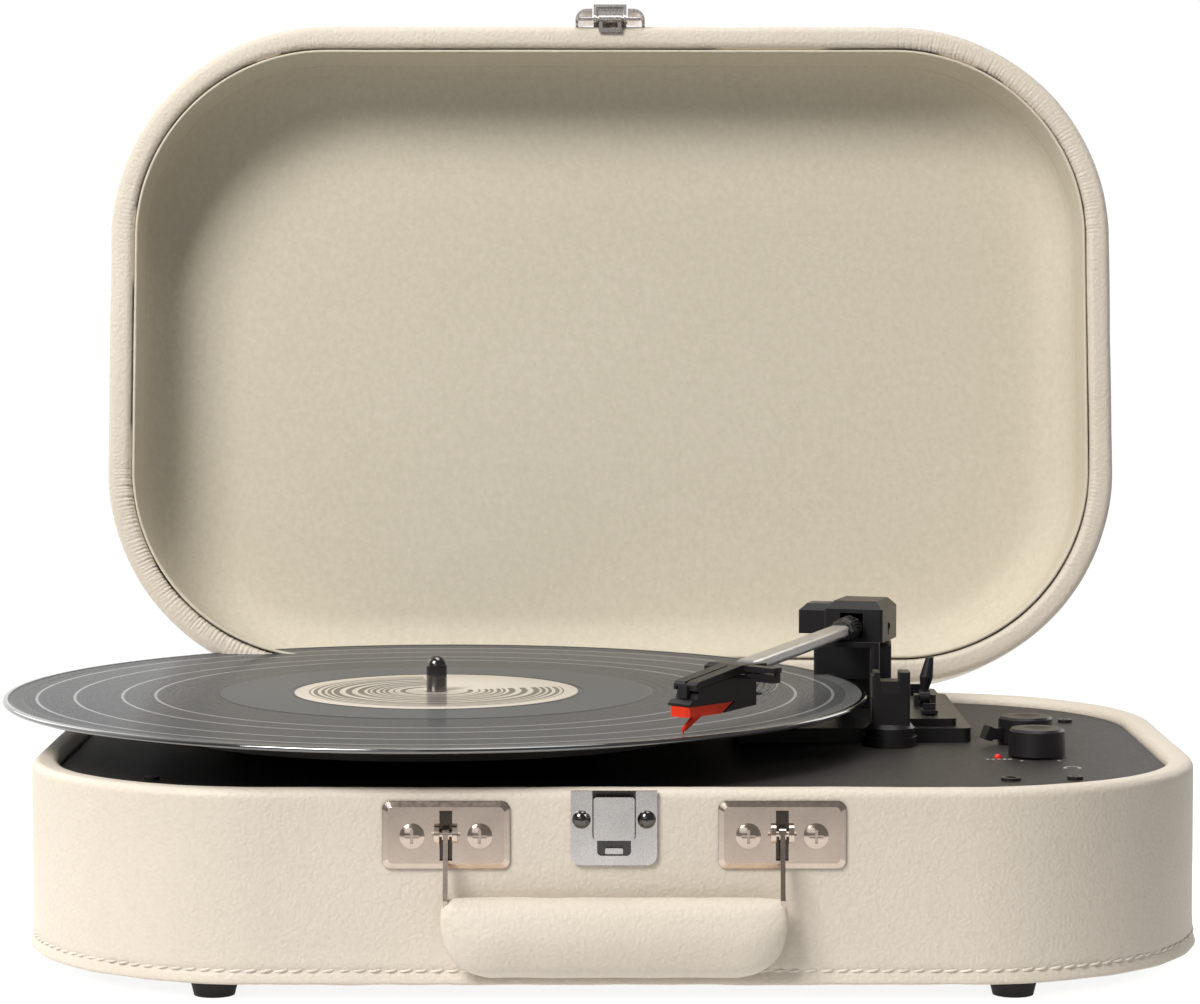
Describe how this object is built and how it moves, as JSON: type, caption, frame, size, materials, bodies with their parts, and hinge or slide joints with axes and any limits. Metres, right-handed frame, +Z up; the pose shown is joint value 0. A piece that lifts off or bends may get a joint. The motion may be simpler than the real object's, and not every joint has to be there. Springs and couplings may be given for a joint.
{
  "type": "suitcase record player",
  "caption": "Portable record player in a leatherette suitcase with a hinged lid, belt-driven platter, tonearm, carrying handle and draw latch.",
  "frame": {"origin": "on the floor the feet stand on, under the middle of the whole open machine from the grip's front to the leaning lid's back; the case itself is centred on X = 0, and its middle is 39.2 mm in front of the origin", "axes": "+X to the right as the user faces it, where the tonearm and the knobs are; +Y to the back, where the lid's hinges are; +Z up, along the spindle"},
  "size_m": [0.3874, 0.363, 0.3312],
  "materials": {
    "leatherette": "fine pebbled grain, cream",
    "board": "raw fibreboard",
    "liner": "flat felt paper, cream",
    "deck": "fine sand texture, black",
    "base_board": "black board",
    "rubber": "matt",
    "drive_rubber": "satin",
    "black_plastic": "satin moulded",
    "knob_plastic": "satin turned",
    "mat_felt": "black felt",
    "platter_steel": "black paint",
    "nickel": "polished nickel",
    "brushed_nickel": "brushed nickel",
    "steel": "turned steel",
    "brass": "turned brass",
    "arm_aluminium": "satin silver",
    "zinc": "zinc plated",
    "board_green": "circuit board",
    "speaker_black": "speaker frame and cone",
    "stylus_red": "translucent red",
    "led_red": "red lens"
  },
  "bodies": {
    "base": {"base_shell": "board", "base_cover": "leatherette", "bottom_panel": "base_board", "feet": "rubber", "foot_screws": "zinc", "deck_panel": "deck", "deck_screws": "black_plastic", "spindle": "nickel", "spindle_housing": "zinc", "spindle_clip": "steel", "drive_belt": "drive_rubber", "motor": "zinc", "amp_board": "board_green", "speakers": "speaker_black", "volume_pot": "zinc", "selector_switch": "zinc", "power_led": "led_red", "headphone_jack": "black_plastic", "rear_panel": "black_plastic", "rca_jacks": "nickel", "aux_jack": "black_plastic", "dc_inlet": "black_plastic", "mechanism_plate": "black_plastic", "arm_rest": "black_plastic", "arm_pedestal": "black_plastic", "strike_plate": "brushed_nickel", "strike_rivets": "nickel", "handle_brackets": "nickel", "handle_screws": "nickel", "base_hinge_leaves": "nickel", "hinge_pins": "steel"},
    "platter": {"platter": "platter_steel", "platter_bush": "brass", "slipmat": "mat_felt"},
    "pulley": {"motor_pulley": "brass", "motor_shaft": "steel"},
    "volume": {"volume_knob": "knob_plastic", "volume_shaft": "steel"},
    "selector": {"selector_knob": "knob_plastic", "selector_shaft": "steel"},
    "speed": {"speed_slider": "knob_plastic"},
    "autostop": {"autostop_slider": "knob_plastic"},
    "cue_lever": {"cue_lever": "knob_plastic"},
    "cue_platform": {"cue_platform": "black_plastic"},
    "turret": {"arm_turret": "black_plastic", "turret_shaft": "steel", "arm_pivot_pin": "steel"},
    "arm": {"arm_tube": "arm_aluminium", "headshell": "black_plastic", "cartridge": "black_plastic", "stylus": "stylus_red"},
    "handle": {"handle_bail": "nickel", "handle_grip": "leatherette"},
    "lid": {"lid_shell": "board", "lid_cover": "leatherette", "lid_liner": "liner", "lid_hinge_leaves": "nickel", "latch_plate": "brushed_nickel"},
    "latch_lever": {"latch_lever": "nickel"},
    "latch_loop": {"latch_loop": "nickel"}
  },
  "joints": [
    {"name": "lid_hinge", "type": "hinge", "parent": "base", "child": "lid", "pos_m": [0, 0.09157, 0.0678], "axis": [-1, 0, 0], "range_deg": [-99.5, 0]},
    {"name": "latch_lever_turn", "type": "hinge", "parent": "lid", "child": "latch_lever", "pos_m": [0, 0.13287, 0.32552], "axis": [1, 0, 0], "range_deg": [0, 70]},
    {"name": "latch_loop_swing", "type": "hinge", "parent": "lid", "child": "latch_loop", "pos_m": [0, 0.13287, 0.32552], "axis": [1, 0, 0], "range_deg": [-99.5, 0]},
    {"name": "handle_swing", "type": "hinge", "parent": "base", "child": "handle", "pos_m": [0, -0.16963, 0.054], "axis": [-1, 0, 0], "range_deg": [0, 95]},
    {"name": "platter_spin", "type": "hinge", "parent": "base", "child": "platter", "pos_m": [-0.0615, -0.02473, 0.076], "axis": [0, 0, -1], "continuous": true},
    {"name": "pulley_spin", "type": "hinge", "parent": "base", "child": "pulley", "pos_m": [-0.1342, 0.01727, 0.068], "axis": [0, 0, -1], "continuous": true},
    {"name": "arm_swing", "type": "hinge", "parent": "base", "child": "turret", "pos_m": [0.091, 0.03577, 0.093], "axis": [0, 0, 1], "range_deg": [-28, 21.5]},
    {"name": "arm_lift", "type": "hinge", "parent": "turret", "child": "arm", "pos_m": [0.091, 0.03577, 0.0986], "axis": [-0.9537, 0.3007, 0], "range_deg": [0, 7.7]},
    {"name": "cue_lever_turn", "type": "hinge", "parent": "base", "child": "cue_lever", "pos_m": [0.113, 0.01077, 0.075], "axis": [-1, 0, 0], "range_deg": [0, 55]},
    {"name": "cue_lift", "type": "slide", "parent": "base", "child": "cue_platform", "axis": [0, 0, 1], "range_m": [0, 0.0042]},
    {"name": "volume_turn", "type": "hinge", "parent": "base", "child": "volume", "pos_m": [0.144, -0.06923, 0.07], "axis": [0, 0, -1], "range_deg": [-150, 150]},
    {"name": "selector_turn", "type": "hinge", "parent": "base", "child": "selector", "pos_m": [0.144, -0.03623, 0.07], "axis": [0, 0, -1], "range_deg": [0, 60]},
    {"name": "speed_slide", "type": "slide", "parent": "base", "child": "speed", "axis": [0, 1, 0], "range_m": [-0.004, 0.004]},
    {"name": "autostop_slide", "type": "slide", "parent": "base", "child": "autostop", "axis": [0, 1, 0], "range_m": [-0.004, 0.004]}
  ],
  "couplings": [
    {"joint": "pulley_spin", "follows": "platter_spin", "ratio": 13.043},
    {"joint": "cue_lever_turn", "follows": "arm_lift", "ratio": 7.1424},
    {"joint": "cue_lift", "follows": "arm_lift", "m_per_rad": 0.03124},
    {"joint": "latch_loop_swing", "follows": "lid_hinge", "ratio": 1}
  ]
}
